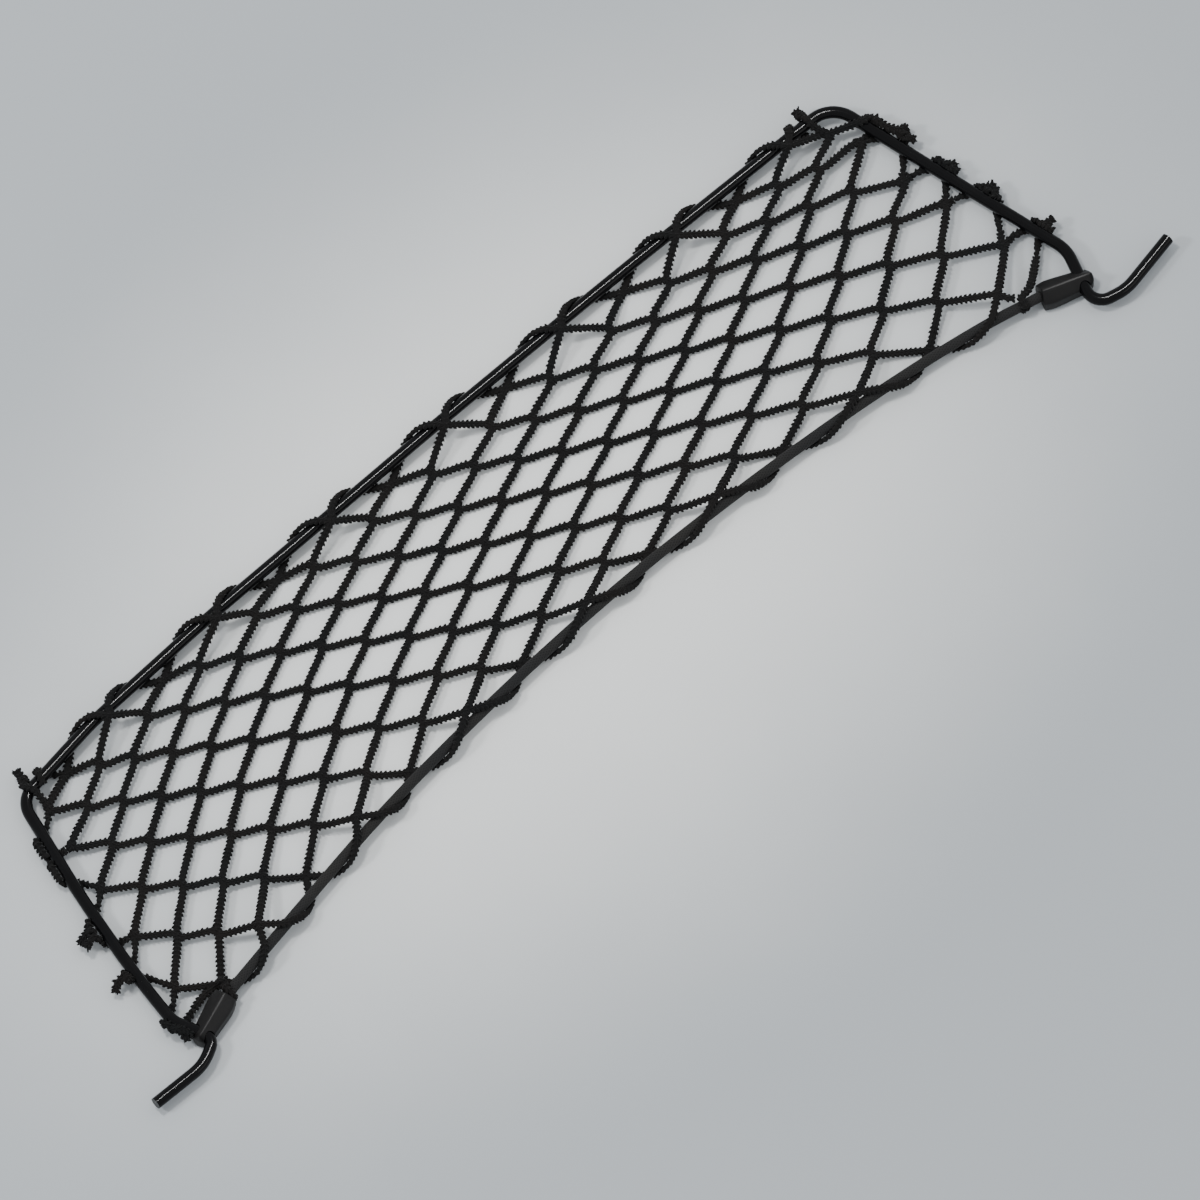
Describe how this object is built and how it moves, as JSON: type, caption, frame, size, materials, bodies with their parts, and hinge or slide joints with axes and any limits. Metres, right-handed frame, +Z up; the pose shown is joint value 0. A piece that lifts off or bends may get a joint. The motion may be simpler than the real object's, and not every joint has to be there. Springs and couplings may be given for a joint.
{
  "type": "cargo net on a rod frame",
  "caption": "Long knitted diamond-mesh cargo net laced to a bent steel rod along one side and both ends and to an elastic cord along the other side, with hooked rod ends and moulded clips.",
  "frame": {"origin": "centre of the part's plan box, on the surface that the net lies on", "axes": "+X along the rod's long side towards the right hook, +Y from the elastic towards the rod's long side, +Z up from the surface"},
  "size_m": [0.6706, 0.1882, 0.0133],
  "materials": {
    "rod_frame": "gloss black",
    "elastic_cord": "matt charcoal braided sleeve",
    "clip": "matt dark grey moulded",
    "net": "matt black knitted cord"
  },
  "bodies": {
    "root": {"rod_frame": "rod_frame", "elastic_cord": "elastic_cord", "clip_left": "clip", "clip_right": "clip", "net": "net"}
  },
  "joints": []
}
